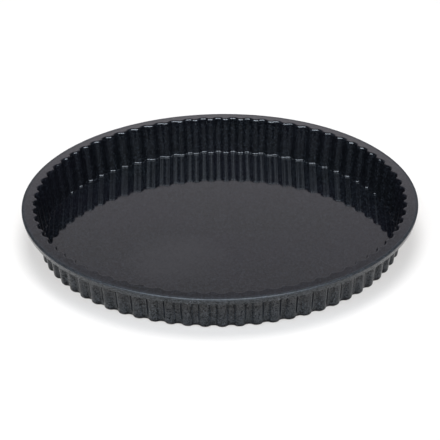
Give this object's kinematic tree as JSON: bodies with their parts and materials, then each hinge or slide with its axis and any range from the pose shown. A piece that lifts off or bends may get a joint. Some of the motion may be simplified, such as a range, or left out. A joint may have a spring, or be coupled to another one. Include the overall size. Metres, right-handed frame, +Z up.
{
  "type": "tart pan",
  "caption": "Round shallow tart pan in coated pressed steel, with an upright fluted wall, a flat smooth floor and a broad rim with a turned-down edge.",
  "frame": {"origin": "centre of the underside, on the surface that the pan stands on", "axes": "+Z straight up through the centre of the pan; the flutes repeat evenly around it, with a flute's crest on +X"},
  "size_m": [0.3, 0.3, 0.0308],
  "materials": {
    "pressed_steel": "bare cold-rolled sheet, covered by the two coatings",
    "inner_coating": "glossy near-black non-stick coating with a faint fleck",
    "outer_coating": "satin blue-black coating with a fine speckle"
  },
  "bodies": {
    "root": {"pressed_steel_body": "pressed_steel", "glossy_inner_coating": "inner_coating", "speckled_outer_coating": "outer_coating"}
  },
  "joints": []
}
